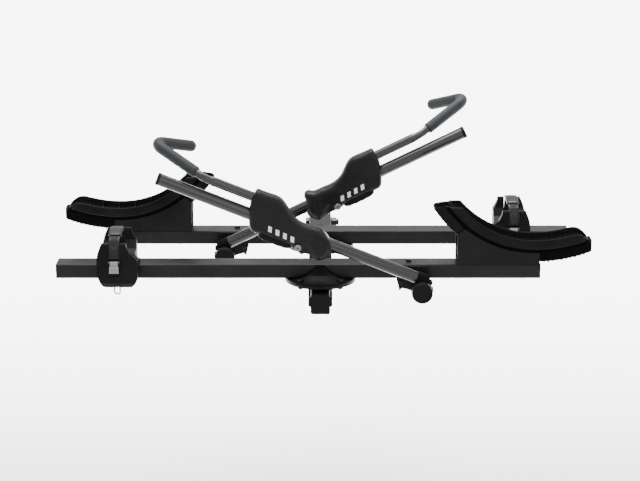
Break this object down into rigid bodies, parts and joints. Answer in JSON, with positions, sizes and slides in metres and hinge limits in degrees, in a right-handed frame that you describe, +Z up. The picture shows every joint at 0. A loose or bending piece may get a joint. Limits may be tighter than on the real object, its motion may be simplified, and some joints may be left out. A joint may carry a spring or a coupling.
{
  "type": "hitch mounted bike rack",
  "caption": "Platform bike rack for a 2 in hitch receiver: cross bars on a tilting spine, each with a wheel tray, a sliding strap block and a ratchet arm with a hook.",
  "frame": {"origin": "centre of the hitch-pin hole, on the stinger's axis", "axes": "+Z up, +Y towards the vehicle, +X to the right when looking at the vehicle from behind it"},
  "size_m": [1.435, 1.008, 0.4945],
  "materials": {
    "powder_coat": "black satin powder coat",
    "bar_paint": "black satin powder coat",
    "tube_paint": "black gloss coat",
    "hub_paint": "black cast and painted",
    "hub_iron": "machined, dark",
    "dark_zinc": "black zinc",
    "bright_metal": "satin chrome",
    "buckle_metal": "brushed",
    "black_plastic": "fine grained",
    "tray_plastic": "moulded, fine grained",
    "housing_plastic": "moulded, satin",
    "strap_plastic": "flexible, satin",
    "grey_rubber": "soft, blue-grey"
  },
  "bodies": {
    "hitch": {"stinger_tube": "powder_coat", "index_hub": "hub_iron"},
    "spine": {"spine_tube": "powder_coat", "tilt_bolt": "dark_zinc", "tilt_nut": "dark_zinc", "tilt_washers": "dark_zinc", "cross_plates": "powder_coat", "hub_bolts": "dark_zinc", "hub_nuts": "dark_zinc", "bar_end_caps": "black_plastic", "tray_bolts": "dark_zinc", "arm_bracket_bolts": "dark_zinc", "arm_pivot_pins": "dark_zinc", "near_hub": "hub_paint", "near_bar": "bar_paint", "near_wheel_tray": "tray_plastic", "near_tray_bracket": "powder_coat", "near_arm_bracket": "powder_coat", "far_hub": "hub_paint", "far_bar": "bar_paint", "far_wheel_tray": "tray_plastic", "far_tray_bracket": "powder_coat", "far_arm_bracket": "powder_coat"},
    "tilt_release": {"release_handle": "black_plastic", "release_rod": "dark_zinc", "latch_pin": "hub_iron"},
    "near_arm": {"near_arm_tube": "tube_paint", "near_tube_plug": "black_plastic", "near_arm_knuckle": "hub_paint", "near_pivot_cap": "black_plastic"},
    "near_ratchet": {"near_housing_front": "housing_plastic", "near_housing_rear": "housing_plastic", "near_housing_screws": "dark_zinc", "near_hook_rod": "tube_paint", "near_hook_sleeve": "grey_rubber", "near_trigger_pin": "dark_zinc"},
    "near_trigger_lever": {"near_trigger": "black_plastic", "near_pawl": "hub_iron"},
    "near_lock": {"near_lock_barrel": "bright_metal"},
    "near_strap_carriage": {"near_strap_block": "tray_plastic", "near_wheel_strap": "strap_plastic", "near_buckle_base": "black_plastic"},
    "near_buckle": {"near_buckle_lever": "buckle_metal"},
    "far_arm": {"far_arm_tube": "tube_paint", "far_tube_plug": "black_plastic", "far_arm_knuckle": "hub_paint", "far_pivot_cap": "black_plastic"},
    "far_ratchet": {"far_housing_front": "housing_plastic", "far_housing_rear": "housing_plastic", "far_housing_screws": "dark_zinc", "far_hook_rod": "tube_paint", "far_hook_sleeve": "grey_rubber", "far_trigger_pin": "dark_zinc"},
    "far_trigger_lever": {"far_trigger": "black_plastic", "far_pawl": "hub_iron"},
    "far_lock": {"far_lock_barrel": "bright_metal"},
    "far_strap_carriage": {"far_strap_block": "tray_plastic", "far_wheel_strap": "strap_plastic", "far_buckle_base": "black_plastic"},
    "far_buckle": {"far_buckle_lever": "buckle_metal"}
  },
  "joints": [
    {"name": "rack_tilt", "type": "hinge", "parent": "hitch", "child": "spine", "pos_m": [0, -0.15, 0], "axis": [-1, 0, 0], "range_deg": [-35, 90]},
    {"name": "release_pull", "type": "slide", "parent": "spine", "child": "tilt_release", "axis": [0, -1, 0], "range_m": [0, 0.025], "stiffness_N_per_m": 900, "springref_m": -0.02},
    {"name": "near_arm_swing", "type": "hinge", "parent": "spine", "child": "near_arm", "pos_m": [0.267, -0.886, 0.0233], "axis": [0, 1, 0], "range_deg": [-2, 100]},
    {"name": "near_hook_slide", "type": "slide", "parent": "near_arm", "child": "near_ratchet", "axis": [-0.9291, 0, 0.3697], "range_m": [-0.15, 0.24]},
    {"name": "near_trigger_squeeze", "type": "hinge", "parent": "near_ratchet", "child": "near_trigger_lever", "pos_m": [-0.15228, -0.886, 0.18025], "axis": [0, -1, 0], "range_deg": [0, 3.5], "stiffness_Nm_per_rad": 6, "springref_deg": -2.86},
    {"name": "near_lock_turn", "type": "hinge", "parent": "near_ratchet", "child": "near_lock", "pos_m": [-0.05863, -0.886, 0.14513], "axis": [0, 1, 0], "range_deg": [0, 90]},
    {"name": "near_strap_slide", "type": "slide", "parent": "spine", "child": "near_strap_carriage", "axis": [1, 0, 0], "range_m": [-0.1, 0.2]},
    {"name": "near_buckle_flip", "type": "hinge", "parent": "near_strap_carriage", "child": "near_buckle", "pos_m": [-0.539, -0.909, 0.1043], "axis": [-1, 0, 0], "range_deg": [0, 75], "stiffness_Nm_per_rad": 0.08, "springref_deg": -11.46},
    {"name": "far_arm_swing", "type": "hinge", "parent": "spine", "child": "far_arm", "pos_m": [-0.267, -0.566, 0.0233], "axis": [0, -1, 0], "range_deg": [-6, 96]},
    {"name": "far_hook_slide", "type": "slide", "parent": "far_arm", "child": "far_ratchet", "axis": [0.8988, 0, 0.4384], "range_m": [-0.15, 0.24]},
    {"name": "far_trigger_squeeze", "type": "hinge", "parent": "far_ratchet", "child": "far_trigger_lever", "pos_m": [0.13933, -0.566, 0.21125], "axis": [0, 1, 0], "range_deg": [0, 3.5], "stiffness_Nm_per_rad": 6, "springref_deg": -2.86},
    {"name": "far_lock_turn", "type": "hinge", "parent": "far_ratchet", "child": "far_lock", "pos_m": [0.04858, -0.566, 0.16921], "axis": [0, 1, 0], "range_deg": [0, 90]},
    {"name": "far_strap_slide", "type": "slide", "parent": "spine", "child": "far_strap_carriage", "axis": [-1, 0, 0], "range_m": [-0.1, 0.2]},
    {"name": "far_buckle_flip", "type": "hinge", "parent": "far_strap_carriage", "child": "far_buckle", "pos_m": [0.539, -0.589, 0.1043], "axis": [-1, 0, 0], "range_deg": [0, 75], "stiffness_Nm_per_rad": 0.08, "springref_deg": -11.46}
  ]
}
